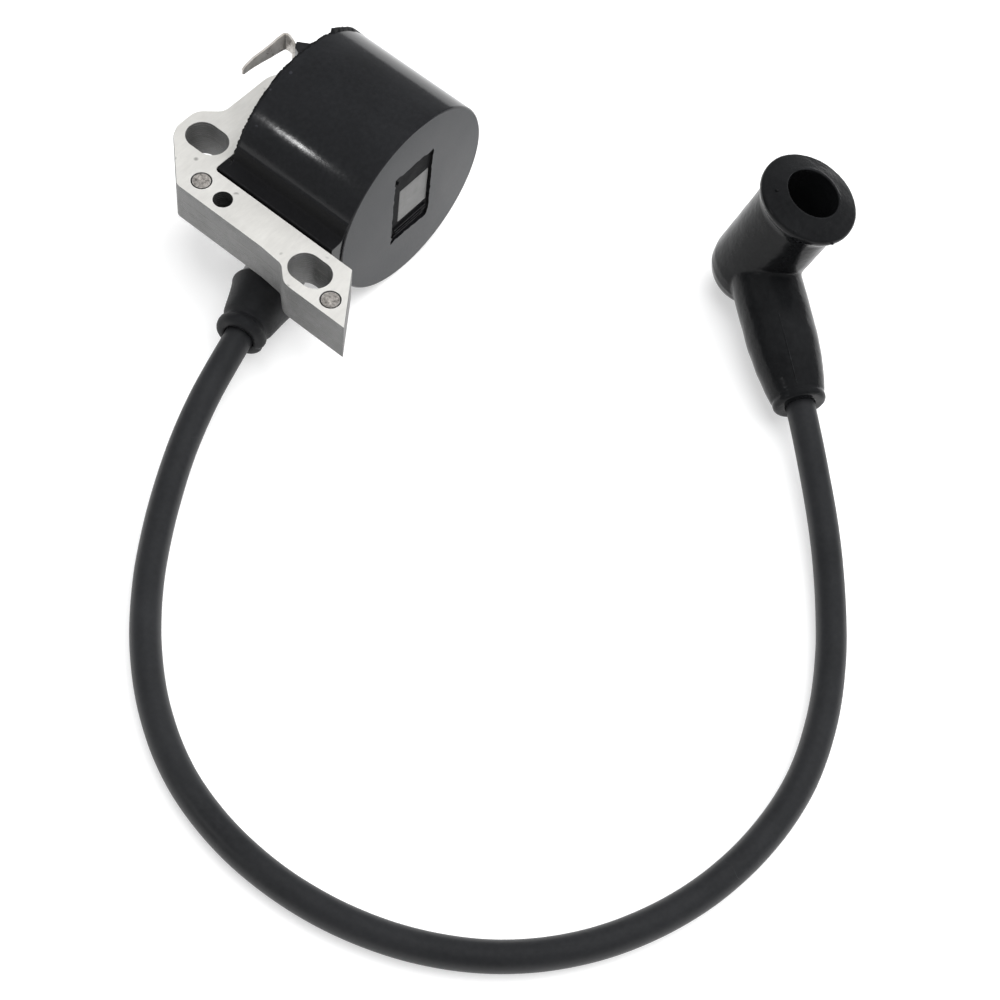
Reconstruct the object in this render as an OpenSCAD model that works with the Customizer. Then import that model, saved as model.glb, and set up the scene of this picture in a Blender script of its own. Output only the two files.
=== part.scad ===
// Ignition coil of a small two-stroke engine: a round potted coil on one leg of a U-shaped laminated
// core, a high-tension lead and an elbow boot for the spark plug.
// Millimetres, +Z up. The object lies on z = 0 with the core's laminations level. +X runs along the
// legs of the core towards the flywheel, +Y from the slotted mounting leg towards the coil.
// The origin is under the middle of the coil without its lead.

/* [Coil body] */
// Outer diameter of the round coil case
case_d = 36; // [35.6:0.1:36.2]
// Length of the round coil case
case_length = 24.6; // [24.4:0.1:25]
// Side wall of the coil case
case_wall = 1.6; // [1.4:0.1:1.8]
// Thickness of the case's closed end
end_wall = 2; // [1.8:0.1:2.1]

/* [Core] */
// Height of the stack of laminations
core_height = 8; // [7.6:0.1:8]
// Width of the leg that passes through the coil
coil_leg_width = 7.5; // [7.2:0.1:7.5]
// Width of a mounting slot
slot_width = 5.6; // [5.2:0.1:5.8]
// Distance between the centres of a mounting slot's two round ends
slot_run = 2.2; // [1.8:0.1:2.4]
// Diameter of the locating hole
locating_hole_d = 3.2; // [3:0.1:3.4]
// Diameter of the two rivets that hold the stack together
rivet_d = 3.2; // [3:0.1:3.4]

/* [High-tension lead] */
// Outer diameter of the lead
lead_d = 5; // [4.8:0.1:5]
// Diameter of the lead's stranded conductor
conductor_d = 1.6; // [1.5:0.1:1.7]
// Largest diameter of the rubber sleeve where the lead leaves the case
sleeve_d = 12; // [11.4:0.1:12.2]

/* [Plug boot] */
// Diameter of the flange round the boot's mouth
flange_d = 17.8; // [17.2:0.1:18.4]
// Diameter of the bore that grips the spark plug's insulator
plug_bore_d = 9.5; // [9.2:0.1:9.9]
// Height of the mouth's rim above the centre of the elbow
mouth_height = 19.9; // [19.6:0.1:20.2]
// Diameter of the arm that holds the lead
boot_arm_d = 11; // [10.6:0.1:11.4]

/* [Hidden] */
$fn = 64;

// Gap between two pieces that are pushed or potted together, and a gap that lets one turn.
fit_gap = 0.05;
turn_gap = 0.08;
eps = 0.01;

// Round case, its axis along X.
case_r = case_d / 2;
case_y = 6.1;
case_z = case_r;
case_x1 = 12.95;
case_x0 = case_x1 - case_length;
cavity_r = case_r - case_wall;
cavity_x1 = case_x1 - end_wall;

// Core, level, at half the height of the case.
core_z0 = case_z - core_height / 2;
core_z1 = core_z0 + core_height;
yoke_x0 = -20.6;
yoke_x1 = -13;
coil_leg_y = 7;
coil_leg_y0 = coil_leg_y - coil_leg_width / 2;
coil_leg_y1 = coil_leg_y + coil_leg_width / 2;
coil_leg_x1 = 12.45;
mount_leg_y1 = -14.35;
mount_leg_y0 = -21.1;
pad_y0 = -24.1;
slots = [[-18.5, -10.4], [12.5, -19.2]];
locating_hole = [-7.7, -18.15];
rivets = [[-12.95, -17.65], [18.75, -21.3]];

// Window in the closed end of the case, and the sleeve that the coil leg passes through.
window_y0 = 1.1;
window_y1 = 10.8;
window_z0 = 10.4;
window_z1 = 27.1;
leg_gap = 0.1;
tube_wall = 0.8;
tube_y = coil_leg_width + 2 * leg_gap;
tube_z = core_height + 2 * leg_gap;

// Bobbins and windings, on the axis of the coil leg.
coil_x0 = -6.8;
coil_x1 = cavity_x1 - 0.1;
primary_tube_y = tube_y + 2 * tube_wall + 2 * leg_gap;
primary_tube_z = tube_z + 2 * tube_wall + 2 * leg_gap;
primary_wall = 0.7;
primary_flange = 1;
primary_flange_r = 9.2;
primary_build = 1.5;
primary_corner_r = 3;
secondary_tube_r = 9.4;
secondary_wall = 0.9;
secondary_flange_r = 14.9;
secondary_flange = 0.8;
secondary_winding_r = 14.3;
chambers = 4;
chamber_pitch = (coil_x1 - coil_x0 - secondary_flange) / chambers;

// Control board, standing across the case in front of the coil.
board_x1 = -7.4;
board_t = 1.2;
board_x0 = board_x1 - board_t;
board_r = 15.6;
board_z0 = 24.6;
resin_x0 = case_x0 + 0.65;

// Stop terminal: a tab that leaves the open end of the case and turns along -Y.
tab_t = 0.4;
tab_y = 6.1;
tab_x = -16.2;
tab_bend_r = 0.4;
tab_root_x0 = -14.3;
tab_z0 = 31.2;
tab_root_z1 = 35.4;
tab_foot_z1 = 33.6;
tab_neck_z1 = 36.1;
tab_z1 = 36.7;
tab_tip_y = -4.4;

// Boss that holds the tab where it leaves the case. It narrows outwards to a slanted end.
boss_x0 = case_x0 - 2.3;
boss_z0 = 30;
boss_z1 = 35.8;
boss_outline = [
    [case_x0 + 0.5, 4.7], [case_x0 + 0.5, 8.2], [case_x0, 8.1], [boss_x0, 6.6],
    [boss_x0 + 0.5, 5.6], [case_x0, 4.7]
];

// Ground strap: from the board to the inner edge of the yoke.
strap_t = 0.4;
strap_y0 = -3.2;
strap_w = 2.4;
strap_z = 20.1;
strap_z1 = 25.5;

// Lead outlet. Distances along its axis run from the sleeve's front face back into the case.
outlet = [5.6, -29, 6.6];
outlet_lean = 17;
spigot_s0 = 5.5;
collar_s0 = 10.6;
collar_s1 = 13.6;
seat_s = 18.2;
strands_s = 12;
spike_s = 25.5;
spigot_r = 3.9;
collar_r = 5.3;
tower_r = 4.9;
spike_r = 0.7;
lead_r = lead_d / 2;
conductor_r = conductor_d / 2;
jacket_bore_r = conductor_r + fit_gap;

// Boot, in its own frame: the elbow's centre at the origin, the lead arm along +X, the barrel
// along +Z. It rolls about its arm, then the arm pitches down, then turns about Z.
elbow = [61.1, 43.7, 9.8];
boot_roll = -14.4;
boot_pitch = 6.5;
boot_yaw = -39.3;
boot_turn = [boot_roll, boot_pitch, boot_yaw];
arm_reach = 29.5;
arm_lead_end = 9;
arm_strands_end = 16;
heel_r = 7.4;
heel_z = -2.3;
flange_z = 18.4;
plug_bore_z = 8.6;
chamber_r = 4.2;
chamber_z = -1.8;
spring_r = 3.35;
spring_wire_r = 0.45;
spring_turns = 5;
spring_pitch = 1.5;
spring_steps = 12;

// Route of the lead between the sleeve and the boot.
run = [
    [9, -41, 4.9], [13, -51, 3.3], [18.5, -61, 2.6], [25, -70.5, 2.5], [32.8, -79.2, 2.5],
    [41.7, -86.3, 2.5], [51.7, -91.4, 2.5], [62.7, -94, 2.5], [74.2, -94.2, 2.5],
    [85.6, -92.1, 2.5], [96.3, -87.8, 2.5], [105.7, -81.4, 2.5], [113.3, -73.2, 2.5],
    [119, -63.4, 2.5], [122.6, -52.7, 2.5], [124, -41.5, 2.5], [123.2, -30.2, 2.5],
    [119.9, -19.4, 2.6], [114.6, -9.1, 2.8], [107.9, 0.4, 3.2], [100.4, 9.2, 4], [92.4, 17.3, 4.9]
];
lead_sides = 10;
strand_sides = 8;

function unit(v) = v / norm(v);
function outlet_at(s) = outlet + s * [-sin(outlet_lean), cos(outlet_lean), 0];
function arm_direction() =
    [cos(boot_pitch) * cos(boot_yaw), cos(boot_pitch) * sin(boot_yaw), -sin(boot_pitch)];
function arm_at(x) = elbow + x * arm_direction();
function lead_route(s, x) = concat([outlet_at(s), outlet_at(0)], run, [arm_at(arm_reach), arm_at(x)]);

// Outline corners are [x, y, radius]; a corner with a radius becomes an arc of corner_steps chords.
corner_steps = 6;
function corner_arc(a, b, c) =
    let (
        to_a = unit([a.x - b.x, a.y - b.y]),
        to_c = unit([c.x - b.x, c.y - b.y]),
        half = acos(to_a * to_c) / 2,
        centre = [b.x, b.y] + unit(to_a + to_c) * b.z / sin(half),
        start = [b.x, b.y] + to_a * b.z / tan(half),
        end = [b.x, b.y] + to_c * b.z / tan(half),
        a0 = atan2(start.y - centre.y, start.x - centre.x),
        swing = atan2(end.y - centre.y, end.x - centre.x) - a0,
        turn = swing > 180 ? swing - 360 : swing < -180 ? swing + 360 : swing
    )
    [for (i = [0:corner_steps]) centre + b.z * [cos(a0 + turn * i / corner_steps),
                                                sin(a0 + turn * i / corner_steps)]];
function rounded(outline) =
    let (n = len(outline))
    [for (i = [0:n - 1]) each
        outline[i].z == 0 ? [[outline[i].x, outline[i].y]]
            : corner_arc(outline[(i + n - 1) % n], outline[i], outline[(i + 1) % n])];

// Sweep of a round section along a path that is nowhere vertical.
function direction(path, i) =
    let (
        n = len(path),
        back = i == 0 ? [0, 0, 0] : unit(path[i] - path[i - 1]),
        ahead = i == n - 1 ? [0, 0, 0] : unit(path[i + 1] - path[i])
    )
    unit(back + ahead);
function ring(path, i, r, sides) =
    let (
        t = direction(path, i),
        across = unit(cross([0, 0, 1], t)),
        lift = cross(t, across)
    )
    [for (k = [0:sides - 1]) path[i]
        + r * (cos(360 * k / sides) * across + sin(360 * k / sides) * lift)];
function skin(path, r, sides) = [for (i = [0:len(path) - 1]) each ring(path, i, r, sides)];
function band_faces(rings, sides, first, inward) =
    [for (i = [0:rings - 2], k = [0:sides - 1])
        let (
            a = first + i * sides + k,
            b = first + i * sides + (k + 1) % sides,
            quad = [a, b, b + sides, a + sides]
        )
        inward ? [quad[3], quad[2], quad[1], quad[0]] : quad];

module solid_sweep(path, r, sides) {
    n = len(path);
    polyhedron(
        points = skin(path, r, sides),
        faces = concat(
            band_faces(n, sides, 0, false),
            [[for (k = [sides - 1:-1:0]) k]],
            [[for (k = [0:sides - 1]) (n - 1) * sides + k]]
        ),
        convexity = 10
    );
}

module hollow_sweep(path, r, bore_r, sides) {
    n = len(path);
    inner = n * sides;
    last = (n - 1) * sides;
    polyhedron(
        points = concat(skin(path, r, sides), skin(path, bore_r, sides)),
        faces = concat(
            band_faces(n, sides, 0, false),
            band_faces(n, sides, inner, true),
            [for (k = [0:sides - 1])
                let (next = (k + 1) % sides) [next, k, inner + k, inner + next]],
            [for (k = [0:sides - 1])
                let (next = (k + 1) % sides)
                [last + k, last + next, inner + last + next, inner + last + k]]
        ),
        convexity = 10
    );
}

// A box from one corner to the opposite one.
module block(low, high) {
    translate(low)
        cube(high - low);
}

// A cylinder along X.
module rod_x(x0, x1, r, y, z) {
    translate([x0, y, z])
        rotate([0, 90, 0])
            cylinder(h = x1 - x0, r = r);
}

// A box along X, centred on the coil leg.
module leg_box(x0, x1, width, height) {
    translate([x0, coil_leg_y - width / 2, case_z - height / 2])
        cube([x1 - x0, width, height]);
}

// A box along X with rounded long edges, centred on the coil leg.
module rounded_leg_box(x0, x1, width, height, r) {
    leg_box(x0, x1, width - 2 * r, height);
    leg_box(x0, x1, width, height - 2 * r);
    for (sy = [-1, 1], sz = [-1, 1])
        rod_x(x0, x1, r, coil_leg_y + sy * (width / 2 - r), case_z + sz * (height / 2 - r));
}

// Puts what is drawn along +Z onto the lead outlet's axis, s back from the sleeve's front face.
module on_outlet(s) {
    translate(outlet_at(s))
        rotate([-90, 0, outlet_lean])
            children();
}

module on_boot() {
    translate(elbow)
        rotate(boot_turn)
            children();
}

module slot_hole(centre) {
    for (side = [-1, 1])
        translate([centre.x + side * slot_run / 2, centre.y, core_z0 - 1])
            cylinder(h = core_height + 2, d = slot_width);
    translate([centre.x - slot_run / 2, centre.y - slot_width / 2, core_z0 - 1])
        cube([slot_run, slot_width, core_height + 2]);
}

core_outline = [
    [17.37, mount_leg_y1, 0.3], [24.2, pad_y0, 0.1], [11, pad_y0, 3], [8.2, mount_leg_y0 - 0.4, 2],
    [3.5, mount_leg_y0, 2], [-15.4, mount_leg_y0, 1.5], [-23.2, -13.7, 3], [-24.1, -11.8, 3],
    [-24.1, -7.2, 3], [-20.6, -4, 2.5], [yoke_x0, coil_leg_y1, 5],
    [coil_leg_x1, coil_leg_y1, 0.3], [coil_leg_x1, coil_leg_y0, 0.3],
    [yoke_x1, coil_leg_y0, 0.8], [yoke_x1, mount_leg_y1, 0.8]
];

module core_laminations() color("#c9c8c2")
    difference() {
        translate([0, 0, core_z0])
            linear_extrude(height = core_height)
                polygon(rounded(core_outline));
        for (centre = slots)
            slot_hole(centre);
        translate([locating_hole.x, locating_hole.y, core_z0 - 1])
            cylinder(h = core_height + 2, d = locating_hole_d);
        for (centre = rivets)
            translate([centre.x, centre.y, core_z0 - 1])
                cylinder(h = core_height + 2, r = rivet_d / 2 + fit_gap);
    }

module core_rivets() color("#b9b6b0")
    for (centre = rivets)
        translate([centre.x, centre.y, core_z0])
            cylinder(h = core_height + 0.12, d = rivet_d);

// The foot fills the gap between the round case and the mounting leg. Its toe stands proud of the
// case's open end.
foot_x0 = -12.8;
foot_x1 = 12.6;
foot_y0 = mount_leg_y1 + 0.3;
foot_y1 = -10.6;
toe_y1 = -11.5;
foot_z0 = 12;
foot_z1 = 22.4;

module case_outside() {
    rod_x(case_x0, case_x1, case_r, case_y, case_z);
    block([foot_x0, foot_y0, foot_z0], [case_x0 + eps, toe_y1, foot_z1]);
    block([case_x0, foot_y0, foot_z0], [foot_x1, foot_y1, foot_z1]);
    translate([0, 0, boss_z0])
        linear_extrude(height = boss_z1 - boss_z0)
            polygon(boss_outline);
    on_outlet(collar_s1 - eps)
        cylinder(h = 14, r = tower_r);
    on_outlet(collar_s0)
        cylinder(h = collar_s1 - collar_s0, r = collar_r);
    on_outlet(spigot_s0)
        cylinder(h = collar_s0 - spigot_s0 + eps, r = spigot_r);
}

module coil_case() color("#1c1d1f")
    difference() {
        union() {
            difference() {
                case_outside();
                rod_x(case_x0 - eps, cavity_x1, cavity_r, case_y, case_z);
            }
            leg_box(case_x0, cavity_x1 + eps, tube_y + 2 * tube_wall, tube_z + 2 * tube_wall);
        }
        leg_box(case_x0 - 1, case_x1 + 1, tube_y, tube_z);
        block([coil_leg_x1, window_y0, window_z0], [case_x1 + 1, window_y1, window_z1]);
        block([boss_x0 - 1, tab_y - tab_t / 2 - fit_gap, tab_z0 - fit_gap],
              [case_x0 + 0.6, tab_y + tab_t / 2 + fit_gap, tab_root_z1 + fit_gap]);
        on_outlet(spigot_s0 - 1)
            cylinder(h = seat_s - spigot_s0 + 1, r = lead_r + turn_gap);
        on_outlet(seat_s - 1)
            cylinder(h = 12, r = spike_r + fit_gap);
    }

module potting_resin() color("#26272a")
    difference() {
        rod_x(resin_x0, coil_x1, cavity_r - fit_gap, case_y, case_z);
        leg_box(resin_x0 - 1, coil_x1 + 1, tube_y + 2 * tube_wall + 2 * fit_gap,
                tube_z + 2 * tube_wall + 2 * fit_gap);
        rod_x(coil_x0 - fit_gap, coil_x1 + 1, secondary_flange_r + fit_gap, coil_leg_y, case_z);
        board_shape(fit_gap);
        block([board_x0 - 2.3, -1.6, 25.4], [board_x0 + eps, 14.4, 32.9]);
        block([board_x1 - eps, 3.5, 24.3], [coil_x0, 10.7, 25.5]);
        block([resin_x0 - 1, tab_y - tab_t / 2 - fit_gap, tab_z0 - fit_gap],
              [board_x0 + eps, tab_y + tab_t / 2 + fit_gap, tab_foot_z1 + fit_gap]);
        block([resin_x0 - 1, strap_y0 - fit_gap, strap_z - fit_gap],
              [board_x0 + eps, strap_y0 + strap_w + fit_gap, strap_z + strap_t + fit_gap]);
        block([board_x0 - strap_t - fit_gap, strap_y0 - fit_gap, strap_z - fit_gap],
              [board_x0 + eps, strap_y0 + strap_w + fit_gap, strap_z1 + fit_gap]);
        tap_wire(fit_gap);
        on_outlet(seat_s)
            cylinder(h = 9, r = spike_r + fit_gap);
    }

module primary_bobbin() color("#e6e2d6")
    difference() {
        union() {
            leg_box(coil_x0, coil_x1, primary_tube_y + 2 * primary_wall,
                    primary_tube_z + 2 * primary_wall);
            for (x = [coil_x0, coil_x1 - primary_flange])
                rod_x(x, x + primary_flange, primary_flange_r, coil_leg_y, case_z);
        }
        leg_box(coil_x0 - 1, coil_x1 + 1, primary_tube_y, primary_tube_z);
        for (side = [-1, 1])
            rod_x(coil_x0 - 1, coil_x0 + primary_flange + eps, 0.4, coil_leg_y + 3 * side, 24.9);
    }

module primary_winding() color("#b5622c")
    difference() {
        rounded_leg_box(coil_x0 + primary_flange + fit_gap, coil_x1 - primary_flange - fit_gap,
            primary_tube_y + 2 * (primary_wall + primary_build),
            primary_tube_z + 2 * (primary_wall + primary_build), primary_corner_r);
        leg_box(coil_x0, coil_x1, primary_tube_y + 2 * (primary_wall + fit_gap),
                primary_tube_z + 2 * (primary_wall + fit_gap));
    }

module secondary_bobbin() color("#d8d4c6")
    difference() {
        union() {
            rod_x(coil_x0, coil_x1, secondary_tube_r + secondary_wall, coil_leg_y, case_z);
            for (i = [0:chambers])
                rod_x(coil_x0 + i * chamber_pitch, coil_x0 + i * chamber_pitch + secondary_flange,
                      secondary_flange_r, coil_leg_y, case_z);
        }
        rod_x(coil_x0 - 1, coil_x1 + 1, secondary_tube_r, coil_leg_y, case_z);
    }

module secondary_winding() color("#9a4a22")
    for (i = [0:chambers - 1])
        difference() {
            rod_x(coil_x0 + i * chamber_pitch + secondary_flange + fit_gap,
                  coil_x0 + (i + 1) * chamber_pitch - fit_gap,
                  secondary_winding_r, coil_leg_y, case_z);
            rod_x(coil_x0, coil_x1, secondary_tube_r + secondary_wall + fit_gap,
                  coil_leg_y, case_z);
        }

// The board is the part of a disc above the core tube.
module board_shape(gap) {
    intersection() {
        rod_x(board_x0 - gap, board_x1 + gap, board_r + gap, case_y, case_z);
        block([board_x0 - 1, case_y - board_r - 1, board_z0 - gap],
              [board_x1 + 1, case_y + board_r + 1, case_z + board_r + 1]);
    }
}

module control_board() color("#2f6b3c")
    board_shape(0);

module switching_transistor() color("#222426")
    block([board_x0 - 2.2, 8.6, 26], [board_x0, 14.2, 31]);

module control_chip() color("#2a2b2e")
    block([board_x0 - 1.6, 0, 26.2], [board_x0, 4.8, 30]);

module bias_resistors() color("#3b3f45")
    for (y = [-1.2, 5.4])
        block([board_x0 - 0.7, y, 25.6], [board_x0, y + 1, 25.6 + 1.8 + (y > 0 ? 0.4 : 0)]);

module damping_capacitor() color("#b98b4e")
    block([board_x0 - 1.1, 1.2, 30.8], [board_x0, 4.4, 32.6]);

// The tab narrows from its bend to a rounded tip.
module stop_terminal() color("#cfccc6") {
    tab_y0 = tab_y - tab_t / 2;
    tab_y1 = tab_y + tab_t / 2;
    bend_x = tab_x + tab_t + tab_bend_r;
    bend_y = tab_y0 - tab_bend_r;
    bend_z0 = 33;
    block([case_x0 - 0.2, tab_y0, tab_z0], [board_x0, tab_y1, tab_foot_z1]);
    block([tab_root_x0, tab_y0, tab_z0], [case_x0 - 0.2 + eps, tab_y1, tab_root_z1]);
    translate([0, tab_y1, 0])
        rotate([90, 0, 0])
            linear_extrude(height = tab_t)
                polygon([
                    [bend_x, bend_z0], [tab_root_x0 + eps, bend_z0],
                    [boss_x0, tab_root_z1 - eps], [boss_x0, tab_neck_z1 - 0.1],
                    [tab_root_x0, tab_neck_z1], [bend_x + 0.2, tab_z1], [bend_x, tab_z1]
                ]);
    translate([bend_x, bend_y, bend_z0])
        rotate([0, 0, 90])
            rotate_extrude(angle = 90)
                translate([tab_bend_r, 0])
                    square([tab_t, tab_z1 - bend_z0]);
    translate([tab_x, 0, 0])
        rotate([90, 0, 90])
            linear_extrude(height = tab_t)
                polygon(rounded([
                    [bend_y + eps, tab_z1, 0], [-1.4, tab_z1, 2], [tab_tip_y, 36.1, 0.5],
                    [tab_tip_y, 34.7, 0.5], [0.5, 34.1, 4], [bend_y + eps, bend_z0, 0]
                ]));
}

module ground_strap() color("#c4b48a") {
    block([board_x0 - strap_t, strap_y0, strap_z], [board_x0, strap_y0 + strap_w, strap_z1]);
    block([yoke_x1, strap_y0, strap_z], [board_x0 - strap_t + eps, strap_y0 + strap_w,
                                         strap_z + strap_t]);
}

module primary_wires() color("#b5622c")
    for (side = [-1, 1])
        rod_x(board_x1, coil_x0 + primary_flange + fit_gap, 0.35, coil_leg_y + 3 * side, 24.9);

// From the outside of the secondary winding to the side of the lead spike.
tap_x = -1.4;
tap_angle = 133.8;
tap_r = 0.3;
tap_length = 1.45;
module tap_wire(gap)
    translate([tap_x, coil_leg_y, case_z])
        rotate([tap_angle, 0, 0])
            translate([0, 0, secondary_winding_r])
                cylinder(h = tap_length, r = tap_r + gap, $fn = 24);

module secondary_wire() color("#9a4a22")
    tap_wire(0);

module lead_spike() color("#c9a24a") {
    on_outlet(strands_s + 2)
        cylinder(h = spike_s - strands_s - 2, r = spike_r);
    on_outlet(strands_s)
        cylinder(h = 2 + eps, r1 = 0.15, r2 = spike_r);
}

// Rubber sleeve: a bead at its front, then a cone that widens towards the case.
sleeve_r = sleeve_d / 2;
sleeve_profile = [
    [lead_r + turn_gap, 0.5], [3.3, 0], [4, 0.15], [4.35, 0.7], [4.45, 1.3], [4.35, 1.95],
    [3.95, 2.5], [4, 2.9], [4.4, 3.3], [sleeve_r - 0.25, 9.6], [sleeve_r, 10.1],
    [sleeve_r - 0.1, 10.5], [spigot_r + fit_gap, 10.5], [spigot_r + fit_gap, spigot_s0 - 0.1],
    [lead_r + turn_gap, spigot_s0 - 0.1]
];

module lead_sleeve() color("#1a1b1c")
    on_outlet(0)
        rotate_extrude()
            polygon(sleeve_profile);

module lead_jacket() color("#17181a")
    hollow_sweep(lead_route(seat_s - 0.1, arm_lead_end), lead_r, jacket_bore_r, lead_sides);

module lead_conductor() color("#c46f38")
    solid_sweep(lead_route(strands_s - fit_gap, arm_strands_end), conductor_r, strand_sides);

// Arc of the boot's heel, from its lowest point out to its side.
heel_arc = [for (a = [-90:15:0]) [heel_r * cos(a), heel_z + heel_r * sin(a)]];
barrel_profile = concat(heel_arc, [
    [heel_r + 0.1, 12.5], [heel_r + 0.2, 15], [8.1, flange_z - 2.1],
    [flange_d / 2 - 0.1, flange_z - 1.1], [flange_d / 2, flange_z],
    [flange_d / 2 - 0.3, flange_z + 0.3], [plug_bore_d / 2 + 0.9, mouth_height - 0.15],
    [plug_bore_d / 2 + 0.6, mouth_height], [0, mouth_height]
]);
arm_r = boot_arm_d / 2;
arm_profile = [
    [0, 0], [arm_r + 0.6, 0], [arm_r + 0.65, 10], [arm_r + 0.6, 17], [arm_r + 0.25, 21.5],
    [arm_r - 0.35, 25.6], [arm_r - 0.8, arm_reach - 1.6], [arm_r - 1.3, arm_reach - 1.5],
    [arm_r - 1.2, arm_reach - 0.3], [arm_r - 1.6, arm_reach], [0, arm_reach]
];

module plug_boot() color("#141516")
    on_boot()
        difference() {
            union() {
                rotate_extrude()
                    polygon(barrel_profile);
                rotate([0, 90, 0])
                    rotate_extrude()
                        polygon(arm_profile);
            }
            translate([0, 0, plug_bore_z])
                cylinder(h = mouth_height, d = plug_bore_d);
            translate([0, 0, mouth_height - 0.5])
                cylinder(h = 0.5 + eps, r1 = plug_bore_d / 2, r2 = plug_bore_d / 2 + 0.5);
            translate([0, 0, chamber_z])
                cylinder(h = plug_bore_z - chamber_z + 1, r = chamber_r);
            rotate([0, 90, 0])
                cylinder(h = arm_reach + 1, r = lead_r + turn_gap);
        }

// Helix that snaps over the plug's terminal nut, with a tail that reaches into the lead's end.
function spring_point(step) =
    let (a = 360 * step / spring_steps)
    [spring_r * cos(a), spring_r * sin(a), 0.7 + spring_pitch * step / spring_steps];
spring_path = concat(
    [[arm_strands_end - fit_gap, 0, 0], [8, 0, 0], [5.6, 0, 0], [4.6, 0.25, 0.1], [3.75, 0.8, 0.45]],
    [for (step = [1:spring_turns * spring_steps]) spring_point(step)]
);

module contact_spring() color("#bdbab2")
    on_boot()
        solid_sweep(spring_path, spring_wire_r, 6);

core_laminations();
core_rivets();
coil_case();
potting_resin();
primary_bobbin();
primary_winding();
secondary_bobbin();
secondary_winding();
control_board();
switching_transistor();
control_chip();
bias_resistors();
damping_capacitor();
stop_terminal();
ground_strap();
primary_wires();
secondary_wire();
lead_spike();
lead_sleeve();
lead_jacket();
lead_conductor();
plug_boot();
contact_spring();
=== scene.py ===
import math
import random

import bmesh
import bpy
from mathutils import Matrix, Vector, noise
from mathutils.bvhtree import BVHTree


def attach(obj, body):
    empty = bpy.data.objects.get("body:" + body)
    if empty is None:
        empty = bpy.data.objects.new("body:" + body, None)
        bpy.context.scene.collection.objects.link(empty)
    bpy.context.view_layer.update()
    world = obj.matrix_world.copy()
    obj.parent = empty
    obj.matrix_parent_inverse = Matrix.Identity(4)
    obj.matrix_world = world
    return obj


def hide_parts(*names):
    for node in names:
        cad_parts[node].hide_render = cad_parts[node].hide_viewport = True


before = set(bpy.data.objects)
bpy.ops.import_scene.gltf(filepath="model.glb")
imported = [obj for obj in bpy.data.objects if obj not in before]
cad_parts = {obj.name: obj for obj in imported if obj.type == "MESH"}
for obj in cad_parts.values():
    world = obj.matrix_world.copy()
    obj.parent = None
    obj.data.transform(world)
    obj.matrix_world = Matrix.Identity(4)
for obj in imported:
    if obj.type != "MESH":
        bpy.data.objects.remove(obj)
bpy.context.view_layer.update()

# Lengths below are in millimetres, in the part's frame; MM turns them into metres.
MM = 0.001
CASE_Y, CASE_Z, CASE_R = 6.1, 18.0, 18.0
CASE_X0, CASE_X1 = -11.65, 12.95
CORE_Z0, CORE_Z1 = 14.0, 22.0
OUTLET, OUTLET_LEAN = Vector((5.6, -29.0, 6.6)), math.radians(17)
ELBOW = Vector((61.1, 43.7, 9.8))
BOOT_YAW, BOOT_PITCH, BOOT_ROLL = math.radians(-39.3), math.radians(6.5), math.radians(-14.4)
ARM_REACH = 29.5
LEAD_R = 2.5
LEAD_HOLE_R = LEAD_R + 0.08


# ---------------------------------------------------------------- camera

def make_camera():
    """Camera at the photograph's distance and viewing angle."""
    place = Vector((0.1483, -0.1780, 0.2962))
    right = Vector((0.7713, 0.6294, 0.0946)).normalized()
    back = Vector((0.2654, -0.4532, 0.8510)).normalized()
    up = back.cross(right).normalized()
    right = up.cross(back)
    turn = Matrix((right, up, back)).transposed().to_4x4()
    data = bpy.data.cameras.new("camera")
    data.lens, data.sensor_width = 75.88, 36.0
    data.clip_start, data.clip_end = 0.01, 10.0
    camera = bpy.data.objects.new("camera", data)
    camera.matrix_world = Matrix.Translation(place) @ turn
    bpy.context.scene.collection.objects.link(camera)
    bpy.context.scene.camera = camera


make_camera()


# ---------------------------------------------------------------- materials

def node_of(tree, kind, **values):
    made = tree.nodes.new(kind)
    for key, value in values.items():
        setattr(made, key, value)
    return made


def noise_node(tree, coords, scale, detail=4.0, rough=0.55, distortion=0.0):
    n = node_of(tree, "ShaderNodeTexNoise")
    tree.links.new(coords, n.inputs["Vector"])
    n.inputs["Scale"].default_value = scale
    n.inputs["Detail"].default_value = detail
    n.inputs["Roughness"].default_value = rough
    n.inputs["Distortion"].default_value = distortion
    return n.outputs["Fac"]


def ranged(tree, value, low, high, to_low, to_high):
    m = node_of(tree, "ShaderNodeMapRange", clamp=True)
    tree.links.new(value, m.inputs["Value"])
    for key, number in (("From Min", low), ("From Max", high), ("To Min", to_low), ("To Max", to_high)):
        m.inputs[key].default_value = number
    return m.outputs["Result"]


def maths(tree, operation, a, b):
    m = node_of(tree, "ShaderNodeMath", operation=operation)
    for socket, value in zip(m.inputs, (a, b)):
        if isinstance(value, (int, float)):
            socket.default_value = value
        else:
            tree.links.new(value, socket)
    return m.outputs["Value"]


def mixed(tree, factor, a, b):
    m = node_of(tree, "ShaderNodeMix", data_type="RGBA")
    tree.links.new(factor, m.inputs["Factor"])
    for socket, value in ((m.inputs["A"], a), (m.inputs["B"], b)):
        if isinstance(value, (tuple, list)):
            socket.default_value = (*value, 1.0)
        else:
            tree.links.new(value, socket)
    return m.outputs["Result"]


def stretched(tree, coords, scale, turn=(0.0, 0.0, 0.0)):
    m = node_of(tree, "ShaderNodeMapping")
    tree.links.new(coords, m.inputs["Vector"])
    m.inputs["Scale"].default_value = scale
    m.inputs["Rotation"].default_value = turn
    return m.outputs["Vector"]


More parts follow.
